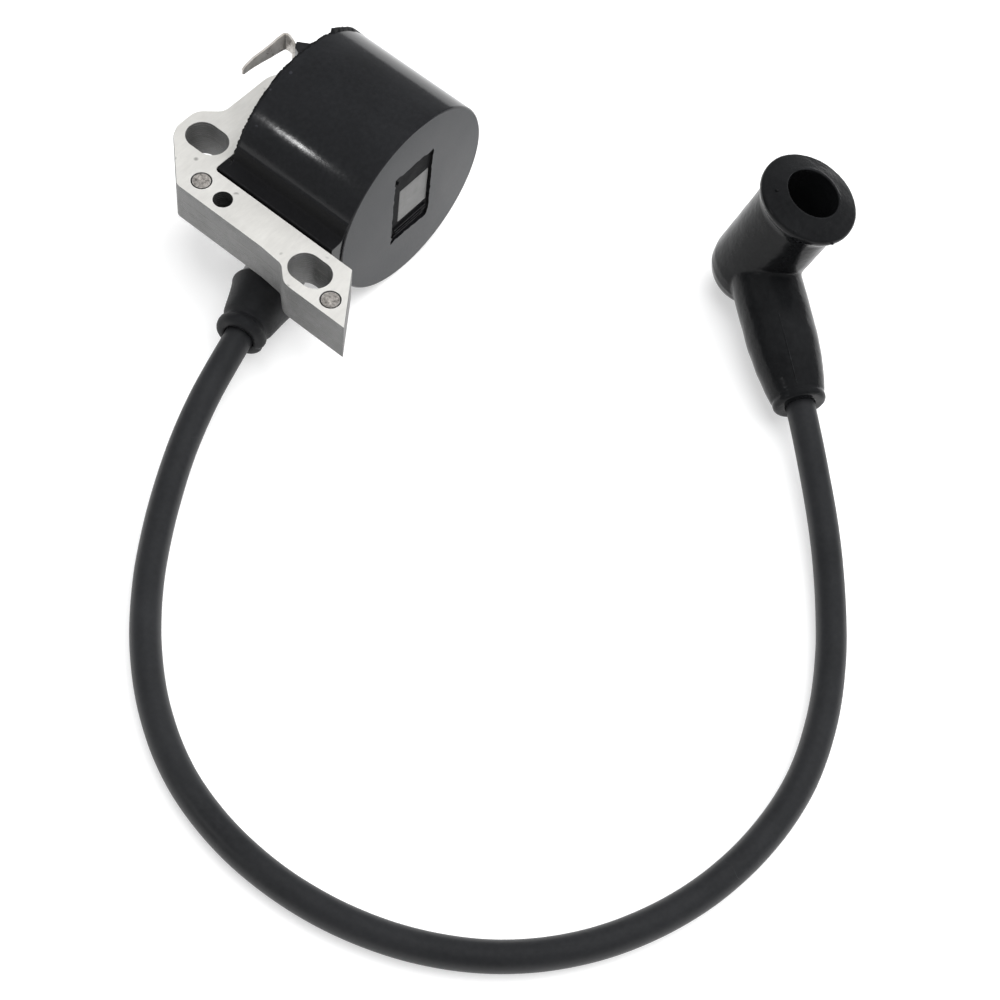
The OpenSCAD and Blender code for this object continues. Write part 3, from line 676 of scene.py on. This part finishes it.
def make_case():
    """The case, built up and hollowed in the order in which the comments name its parts."""
    edge_r = 0.45
    fillet = [(z, r) for r, z in arc(CASE_X1 - edge_r, CASE_R - edge_r, edge_r, 90, 0, 5)]
    shell = [(0, CASE_X0), (CASE_R - 0.1, CASE_X0), (CASE_R, CASE_X0 + 0.12)] + fillet + [(0, CASE_X1)]
    case = lathe("case_moulding", shell, CASE_AXIS, CASE, steps=192)

    # Foot against the core: a ledge that blends into the case, and a toe past the open end.
    foot = [(FOOT_Y, 12.3), (FOOT_Y, 22.15), (-13.9, 22.4), (-12.0, 22.5), (-11.6, 22.7), (-11.3, 23.1),
            (-11.1, 23.6), (-10.85, 24.3), (-10.4, 25.4), (-9.5, 26.5), (-4, 26.5), (-4, 12)]
    combine(case, prism("tool", foot, CASE_X0 + 0.02, FOOT_X1, ALONG_X, CASE), "UNION")
    toe = [(FOOT_Y, 12.4), (FOOT_Y, 22.2), (-13.85, 22.42), (-11.5, 22.42), (-11.5, 12.4)]
    toe = ragged(toe, 0.1, 3.0, 0.9)
    combine(case, prism("tool", toe, TOE_X0, CASE_X0 + 0.5, ALONG_X, CASE), "UNION")

    # Boss that holds the stop terminal.
    boss = [(CASE_X0 + 0.5, 4.7), (CASE_X0 + 0.5, 8.2), (CASE_X0, 8.1), (CASE_X0 - 2.3, 6.6),
            (CASE_X0 - 1.8, 5.6), (CASE_X0, 4.7)]
    tool = prism("tool", boss, 30, 35.8, Matrix(), CASE)
    bevel(tool, 0.2, 3, 30)
    combine(case, tool, "UNION")

    # Tower, collar and spigot of the lead's outlet.
    tower = [(0, 5.5), (3.7, 5.5), (3.9, 5.75), (3.9, 10.6), (5.05, 10.6), (5.3, 10.9), (5.3, 13.3),
             (5.1, 13.6), (TUBE_R, 13.75), (TUBE_R, TUBE_END), (0, TUBE_END)]
    combine(case, lathe("tool", tower, on_outlet(0), CASE, 96), "UNION")
    lead_bore = [(0, 4.5), (LEAD_HOLE_R, 4.5), (LEAD_HOLE_R, 18.2), (0.75, 18.2), (0.75, 29.2), (0, 29.2)]
    combine(case, lathe("tool", lead_bore, on_outlet(0), CASE, 48), "DIFFERENCE")

    # Open inside, and the square sleeve for the core's leg.
    inside = [(0, CASE_X0 - 1), (16.75, CASE_X0 - 1), (16.5, CASE_X0 + 0.2), (16.4, CASE_X0 + 0.8),
              (16.4, 10.6), (16.1, 10.95), (0, 10.95)]
    combine(case, lathe("tool", inside, CASE_AXIS, CASE_INSIDE_SHADE, 160), "DIFFERENCE")
    (y0, y1), (z0, z1) = WALL_Y, WALL_Z
    combine(case, box("tool", (CASE_X0, y0, z0), (11.2, y1, z1), CASE_INSIDE_SHADE), "UNION")
    combine(case, box("tool", (CASE_X0 - 1, y0 + WALL_T, z0 + WALL_T),
                      (14.2, y1 - WALL_T, z1 - WALL_T), CASE_INSIDE_SHADE), "DIFFERENCE")

    # Window in the closed end, its edges left uneven by the moulding.
    window = ragged(WINDOW, 0.5, 11.0)
    combine(case, prism("tool", window, WINDOW_FLOOR, 14.5, ALONG_X, CASE_INSIDE_SHADE), "DIFFERENCE")
    bevel(case, 0.09, 2, 40)

    # Finishes by place: outside; the closed end, matte and lighter as painted light; the inside, rougher
    # and darker as painted shade; and the foot with its toe, darker as painted shade.
    case.data.materials.clear()
    for finish in (CASE, CASE_END_LIT, CASE_INSIDE_SHADE, CASE_FOOT_SHADE_AND_FLASH):
        case.data.materials.append(finish)
    outside, end, shaded_inside, foot_shade = range(4)
    for face in case.data.polygons:
        c, n = face.center / MM, face.normal
        from_axis = math.hypot(c.y - CASE_Y, c.z - CASE_Z)
        # The closed end takes the lighter black, painted light.
        if n.x > 0.9 and c.x > CASE_X1 - 0.1:
            face.material_index = end
        # The inside takes the darker black, painted shade.
        elif from_axis < 16.6 and CASE_X0 + 0.05 < c.x < CASE_X1 - 0.05:
            face.material_index = shaded_inside
        # The foot and its toe get the darker black as painted shade.
        elif c.y < -9.0 and 12.0 < c.z < 26.0 and (from_axis > CASE_R + 0.01 or c.y < -12.0):
            face.material_index = foot_shade
        else:
            face.material_index = outside
    shade(case, 32)
    settle(case, "coil", "case_black", "coil_case")


def make_flash():
    """Thin broken flash round the case's open rim, with a longer lip that stands up near the top."""
    steps, lip_angle, lip_span = 720, 67.0, 23.0
    points, faces = [], []
    for i in range(steps):
        a = 2 * math.pi * i / steps
        c, s = math.cos(a), math.sin(a)
        where = Vector((c * 6.0, s * 6.0, 2.0))
        broad, fine = noise.noise(where * 2.2), noise.noise(where * 7.0)
        tall = max(0.04, 0.16 + 0.26 * max(0.0, broad) + 0.2 * fine)
        spread = 0.24 + 0.2 * noise.noise(where * 3.1) + 0.14 * noise.noise(where * 9.0)
        lean = 0.05 * noise.noise(where * 4.0)
        off = math.degrees(a) - lip_angle
        lip = math.exp(-(off / 1.2) ** 2) if off > 0 else 0.7 + 0.3 * math.exp(-(off / 5.0) ** 2)
        lip /= 1 + math.exp(-(off + lip_span) / 2.0)
        tall += 0.3 * lip
        rise = 0.55 * lip
        # Across the flash: radius past the case's and distance along X from its rim.
        section = ((-0.45, 0.15), (-0.4, -0.02), (lean - 0.22, -0.85 * tall), (lean + rise, -tall),
                   (0.04 + 0.9 * rise, -0.4 * tall), (0.035 + 0.3 * rise, spread), (-0.1, spread + 0.1))
        for past, along in section:
            r = CASE_R + past
            points.append((CASE_X0 + along, CASE_Y + r * c, CASE_Z + r * s))
    rows = len(section)
    for i in range(steps):
        j = (i + 1) % steps
        for k in range(rows):
            m = (k + 1) % rows
            faces.append([i * rows + k, i * rows + m, j * rows + m, j * rows + k])
    flash = make("case_rim_flash", points, faces, CASE_FOOT_SHADE_AND_FLASH, 45)
    outward(flash)
    settle(flash, "coil", "case_black")


def make_window_ribs():
    """Moulded ribs and knobs on the floor of the window, below and above the core's end."""
    ribs, root = [], WINDOW_FLOOR - 0.05
    rows = [(2.0, 10.2, 12.9, 13.2), (2.3, 10.3, 12.0, 12.25), (2.0, 9.6, 11.2, 11.5)]
    for number, (y0, y1, z0, z1) in enumerate(rows):
        outline = ragged([(y0, z0), (y1, z0), (y1, z1), (y0, z1)], 0.07, 20.0 + number, 0.5)
        ribs.append(prism("rib", outline, root, 12.82 - 0.05 * number, ALONG_X, CASE_INSIDE_SHADE))
    for y, z, r in ((2.2, 25.2, 0.3), (9.6, 12.4, 0.4), (1.6, 11.0, 0.35)):
        knob = [(0, root), (r, root), (r, 12.6), (r * 0.6, 12.8), (0, 12.85)]
        ribs.append(lathe("knob", knob, Matrix.Translation((0, y, z)) @ ALONG_X, CASE_INSIDE_SHADE, 16))
    whole = ribs[0]
    for other in ribs[1:]:
        combine(whole, other, "UNION")
    whole.name = "window_ribs"
    shade(whole, 40)
    settle(whole, "coil", "case_black")


def make_meniscus():
    """Resin that climbs the case's wall and the core sleeve as it cures."""
    profile = [(r, CASE_X0 + depth) for r, depth in (
        (16.38, 0.28), (16.3, 0.42), (16.1, 0.56), (15.6, 0.64), (15.2, 0.67), (15.2, 0.9), (16.38, 0.9))]

    def wobble(k, a):
        if k > 2:
            return 0.0, 0.0
        return 0.0, 0.1 * noise.noise(Vector((math.cos(a) * 3, math.sin(a) * 3, k * 0.1)))

    ring = lathe("resin_meniscus", profile, CASE_AXIS, RESIN, 160, closed=True, wobble=wobble)
    settle(ring, "coil", "resin_black")


make_case()
make_flash()
make_window_ribs()
make_meniscus()


# ---------------------------------------------------------------- stop terminal

# Along the tab: x or y of the strip's middle, then its lower and upper edges.
TAB_ROOT = [(-9.0, 31.25, 33.55), (-11.2, 31.25, 33.55), (-11.3, 31.25, 35.35), (-13.8, 31.25, 35.4),
            (-14.25, 31.3, 36.05), (-14.4, 32.9, 36.2), (-14.95, 33.0, 36.6)]
TAB_BLADE = [(4.0, 33.3, 36.7), (2.5, 33.65, 36.68), (0.4, 34.1, 36.64), (-1.6, 34.38, 36.6),
             (-3.2, 34.6, 36.38), (-4.1, 34.72, 36.12), (-4.4, 34.98, 35.85)]


def make_terminal():
    """A strip that leaves the boss, turns through a tight bend and narrows to a blunt tip."""
    half, y, x, bend_r = 0.2, CASE_Y, -16.0, 0.6
    bend_low, bend_high, bend_steps = 33.0, 36.7, 8
    stations = [(Vector((along, y)), Vector((0, 1)), low, high) for along, low, high in TAB_ROOT]
    middle = Vector((x + bend_r, y - bend_r))
    for k in range(bend_steps + 1):
        a = math.radians(90 + 90 * k / bend_steps)
        ray = Vector((math.cos(a), math.sin(a)))
        stations.append((middle + ray * bend_r, ray, bend_low, bend_high))
    for along, low, high in TAB_BLADE:
        bow = 0.06 * math.sin(along * 0.9)
        stations.append((Vector((x + bow, along)), Vector((-1, 0)), low, high))
    points = []
    for place, across, low, high in stations:
        for side, z in ((half, low), (half, high), (-half, high), (-half, low)):
            points.append((*(place + across * side), z))
    last = len(points) - 4
    faces = [[0, 1, 2, 3], [last + 3, last + 2, last + 1, last]]
    for first in range(0, last, 4):
        for k in range(4):
            m = (k + 1) % 4
            faces.append([first + k, first + m, first + 4 + m, first + 4 + k])
    tab = make("stop_tab", points, faces, TINNED, 30)
    outward(tab)
    bevel(tab, 0.06, 3, 50)
    shade(tab, 45)
    settle(tab, "coil", "tinned_brass", "stop_terminal")


make_terminal()


# ---------------------------------------------------------------- sleeve

def make_sleeve():
    """The sleeve as a closed ring from its face, over its bulge, to its rim and back inside."""
    profile = [(LEAD_HOLE_R, 0.45), (2.75, 0.12), (3.2, 0.0), (3.8, 0.06), (4.2, 0.35), (4.42, 0.8),
               (4.47, 1.3), (4.38, 1.8), (4.1, 2.2), (3.88, 2.5), (3.84, 2.8), (3.95, 3.1), (4.3, 3.35),
               (4.55, 3.8), (4.85, 5.2), (5.15, 6.8), (5.5, 8.4), (5.8, 9.5), (5.97, 9.95), (6.0, 10.2),
               (5.9, 10.45), (5.6, 10.5), (3.97, 10.5), (3.95, 5.4), (LEAD_HOLE_R, 5.4)]
    last_outer = 21

    # A shallow moulding notch on the side away from the core, in degrees and millimetres.
    notch_at, notch_width, notch_depth, notch_last = 200, 9, 0.35, 9

    def wobble(k, a):
        if k < 2 or k > last_outer:
            return 0.0, 0.0
        where = Vector((math.cos(a) * 1.4, math.sin(a) * 1.4, k * 0.22))
        notch = math.exp(-((math.degrees(a) - notch_at) / notch_width) ** 2)
        notch *= notch_depth if k <= notch_last else 0.0
        return 0.07 * noise.noise(where) - notch, 0.05 * noise.noise(where * 1.7)

    sleeve = lathe("sleeve_rubber", profile, on_outlet(0), SLEEVE, 128, closed=True, sharp=50,
                   wobble=wobble)
    return settle(sleeve, "coil", "sleeve_rubber", "lead_sleeve")


sleeve = make_sleeve()


# ---------------------------------------------------------------- boot

PLUG_BORE_R, BORE_FLOOR, CHAMBER_R, CHAMBER_FLOOR = 4.75, 8.6, 4.2, -1.8
HEEL_R, HEEL_Z, MOUTH_Z = 7.4, -2.3, 19.9
# The barrel as radius and height above the elbow's centre: heel, side, flange and mouth.
BARREL = [
    (0, HEEL_Z - HEEL_R), (1.85, -9.45), (3.55, -8.75), (5.0, -7.6), (6.25, -6.05), (7.05, -4.35),
    (HEEL_R, HEEL_Z), (HEEL_R, 0), (HEEL_R, 6), (7.45, 12.5), (7.55, 15), (7.85, 16.1), (8.45, 16.8),
    (8.8, 17.4), (8.9, 18.0), (8.84, 18.36), (8.6, 18.6), (5.2, 19.78), (5.0, MOUTH_Z), (0, MOUTH_Z),
]
# The arm as radius and distance from the elbow's centre.
ARM_PROFILE = [
    (0, -0.5), (6.1, -0.5), (6.15, 10), (6.1, 17), (5.75, 21.5), (5.15, 25.6), (4.72, 27.6), (4.5, 27.95),
    (4.45, 28.15), (4.6, 28.45), (4.56, 29.0), (4.32, 29.38), (4.0, ARM_REACH), (0, ARM_REACH),
]
# How far the ridge on top of the arm lies from the plane of barrel and arm.
RIDGE_TURN = math.radians(29)
# Moulding nibs near the mouth: x, y, z and radius.
NIBS = ((-0.6, -6.6, 19.35, 0.28), (8.72, 2.0, 18.2, 0.26), (6.9, -4.9, 18.7, 0.18))


def in_boot_place(obj):
    """Moves a piece drawn about the elbow's centre to where the boot lies."""
    obj.data.transform(Matrix.Scale(1 / MM, 4))
    obj.data.transform(BOOT_PLACE)
    obj.data.transform(Matrix.Scale(MM, 4))
    shade(obj, 60)


def make_boot():
    """The elbow, turned and joined, then remeshed and softened as moulded rubber is."""
    boot = lathe("boot_rubber", BARREL, Matrix(), BOOT, 96)
    arm_axis = Matrix.Rotation(math.radians(90), 4, "Y")
    combine(boot, lathe("tool", ARM_PROFILE, arm_axis, BOOT, 96), "UNION")
    mouth = [(0, BORE_FLOOR), (4.6, BORE_FLOOR), (PLUG_BORE_R, 8.8), (PLUG_BORE_R, 22), (0, 22)]
    combine(boot, lathe("tool", mouth, Matrix(), BOOT, 96), "DIFFERENCE")
    chamber = [(0, CHAMBER_FLOOR), (CHAMBER_R, CHAMBER_FLOOR), (CHAMBER_R, 9), (0, 9)]
    combine(boot, lathe("tool", chamber, Matrix(), BOOT, 64), "DIFFERENCE")
    lead_bore = [(0, 0), (LEAD_HOLE_R, 0), (LEAD_HOLE_R, 31), (0, 31)]
    combine(boot, lathe("tool", lead_bore, arm_axis, BOOT, 64), "DIFFERENCE")
    mod = boot.modifiers.new("remesh", "REMESH")
    mod.mode, mod.voxel_size, mod.use_smooth_shade = "VOXEL", 0.2 * MM, True
    bake(boot)

    # Soften the crease where arm and barrel meet more than the rims, and leave the bores sharp.
    work = bmesh.new()
    work.from_mesh(boot.data)
    near, far, passes = [], 9.0, 14
    crease_x, crease_z, reach_x, reach_z = 7.2, 4.5, 3.2, 5.5
    for v in work.verts:
        p = v.co / MM
        side = math.hypot(p.y, p.z)
        to_lead_bore = abs(side - LEAD_HOLE_R) if p.x > 0 else far
        to_plug_bore = abs(math.hypot(p.x, p.y) - PLUG_BORE_R) if p.z > 8 else far
        crease = max(0.0, 1 - abs(p.x - crease_x) / reach_x)
        crease *= max(0.0, 1 - abs(abs(p.z) - crease_z) / reach_z)
        softness = 0.16 + 0.84 * min(1.0, 1.6 * crease if side > 4.4 else 0.0)
        near.append(0.0 if min(to_lead_bore, to_plug_bore) < 0.3 else softness)
    for _ in range(passes):
        moved = []
        for v, weight in zip(work.verts, near):
            if weight == 0.0:
                moved.append(v.co.copy())
                continue
            mean = sum((e.other_vert(v).co for e in v.link_edges), Vector()) / max(1, len(v.link_edges))
            moved.append(v.co.lerp(mean, 0.5 * weight))
        for v, co in zip(work.verts, moved):
            v.co = co
    # Hand-moulded unevenness.
    work.normal_update()
    for v, weight in zip(work.verts, near):
        if weight > 0.0:
            p = v.co / MM
            v.co += v.normal * (0.05 * noise.noise(p * 0.35) + 0.015 * noise.noise(p * 1.6)) * MM
    work.to_mesh(boot.data)
    work.free()
    skin = BVHTree.FromPolygons([v.co.copy() for v in boot.data.vertices],
                                [tuple(f.vertices) for f in boot.data.polygons])

    # Parting line: fine ridges along the arm, round the heel and up the back.
    ridges = []

    def ridge(name, rays, r):
        hits = [skin.ray_cast(Vector(start) * MM, Vector(aim))[0] for start, aim in rays]
        path = [hit / MM for hit in hits if hit is not None]
        ridges.append(tube(name, path, r, BOOT, 8,
                           wobble=lambda i, a: 0.03 * noise.noise(Vector((i * 0.3, a, 1.0)))))

    high, low = Vector((0, -math.sin(RIDGE_TURN), math.cos(RIDGE_TURN))), Vector((0, 0, -1))
    ridge("ridge_arm_top", [(20 * high + Vector((14.6 + 0.4 * k, 0, 0)), -high) for k in range(33)], 0.13)
    ridge("ridge_arm_low", [(20 * low + Vector((6 + 0.5 * k, 0, 0)), -low) for k in range(43)], 0.12)
    inward = [Vector((math.cos(a), 0, math.sin(a))) for a in map(math.radians, range(0, 90, 5))]
    ridge("ridge_heel", [(Vector((0, 0, -2.6)) - 20 * aim, aim) for aim in inward], 0.12)
    ridge("ridge_back", [((-20, 0, -2.4 + 0.5 * k), (1, 0, 0)) for k in range(37)], 0.12)
    joined = ridges[0]
    for extra in ridges[1:]:
        work = bmesh.new()
        work.from_mesh(joined.data)
        work.from_mesh(extra.data)
        work.to_mesh(joined.data)
        work.free()
        bpy.data.objects.remove(extra)
    work = bmesh.new()
    work.from_mesh(joined.data)
    for x, y, z, r in NIBS:
        at = Matrix.Translation(Vector((x, y, z)) * MM) @ Matrix.Diagonal((1, 1.3, 0.7, 1))
        bmesh.ops.create_icosphere(work, subdivisions=2, radius=r * MM, matrix=at)
    work.to_mesh(joined.data)
    work.free()
    in_boot_place(boot)
    in_boot_place(joined)
    joined.name = "boot_parting_line"
    settle(boot, "boot", "boot_rubber", "plug_boot")
    settle(joined, "boot", "boot_rubber")
    return boot, joined


def make_spring():
    """Round spring wire: a prong into the lead's end, then a coil that snaps onto the plug."""
    knots = [(15.9, 0, 0), (12, 0, 0), (8, 0, 0), (5.6, 0, 0), (4.6, 0.25, 0.1), (3.75, 0.8, 0.45)]
    turns, per_turn, pitch = 5, 16, 1.5
    for k in range(1, turns * per_turn + 1):
        a = 2 * math.pi * k / per_turn
        r = 3.35 - 0.012 * max(0, k - (turns - 1) * per_turn)
        knots.append((r * math.cos(a), r * math.sin(a), 0.7 + pitch * k / per_turn))
    path = [BOOT_PLACE @ p for p in smooth_path(knots, 3)]
    spring = tube("spring_wire", path, 0.45, SPRING, 14)
    settle(spring, "boot", "spring_steel", "contact_spring")
    return spring


boot, boot_line = make_boot()
spring = make_spring()


# ---------------------------------------------------------------- studio

def make_floor():
    made = bpy.data.materials.new("floor_white")
    made.use_nodes = True
    tree = made.node_tree
    shader = tree.nodes["Principled BSDF"]
    coords = node_of(tree, "ShaderNodeTexCoord").outputs["Object"]
    tone = noise_node(tree, coords, 3.0, 2.0)
    colour = mixed(tree, tone, (0.56, 0.56, 0.563), (0.58, 0.58, 0.58))
    tree.links.new(colour, shader.inputs["Base Color"])
    shader.inputs["Roughness"].default_value = 0.9
    shader.inputs["Specular IOR Level"].default_value = 0.1
    # A table lit from below, which keeps the shadows faint.
    shader.inputs["Emission Color"].default_value = (1.0, 1.0, 1.0, 1.0)
    shader.inputs["Emission Strength"].default_value = 0.5
    mesh = bpy.data.meshes.new("floor")
    # Just under the part, so that the two share no plane.
    half, level = 3.0, -0.0002
    corners = [(x * half, y * half, level) for x, y in ((-1, -1), (1, -1), (1, 1), (-1, 1))]
    mesh.from_pydata(corners, [], [(0, 1, 2, 3)])
    mesh.materials.append(made)
    floor = bpy.data.objects.new("floor", mesh)
    bpy.context.scene.collection.objects.link(floor)


def area_light(name, direction, distance, size, power, glossy=True, target=(0.05, -0.02, 0.01)):
    """A light at a distance from the target, in metres, shining back along the direction."""
    data = bpy.data.lights.new(name, "AREA")
    data.shape, data.size, data.size_y, data.energy = "RECTANGLE", size[0], size[1], power
    light = bpy.data.objects.new(name, data)
    ray = Vector(direction).normalized()
    light.location = Vector(target) + ray * distance
    light.rotation_mode = "QUATERNION"
    light.rotation_quaternion = ray.to_track_quat("Z", "Y")
    light.visible_glossy = glossy
    bpy.context.scene.collection.objects.link(light)


def make_studio():
    make_floor()
    world = bpy.data.worlds.new("studio")
    world.use_nodes = True
    world.node_tree.nodes["Background"].inputs["Color"].default_value = (0.98, 0.99, 1.0, 1.0)
    world.node_tree.nodes["Background"].inputs["Strength"].default_value = 0.38
    bpy.context.scene.world = world
    area_light("overhead", (0.15, 0.25, 1.0), 1.2, (1.4, 1.4), 26.0, glossy=False)
    # A small light, which draws the bright streak along the case.
    area_light("front_left", (-0.378, -0.766, 0.520), 1.0, (0.035, 0.035), 0.55,
               target=(0.0, -0.006, 0.03))
    area_light("back_right", (0.5, 0.75, 0.55), 1.1, (0.5, 0.35), 2.5, glossy=False)
    bpy.context.scene.view_settings.view_transform = "Standard"


make_studio()
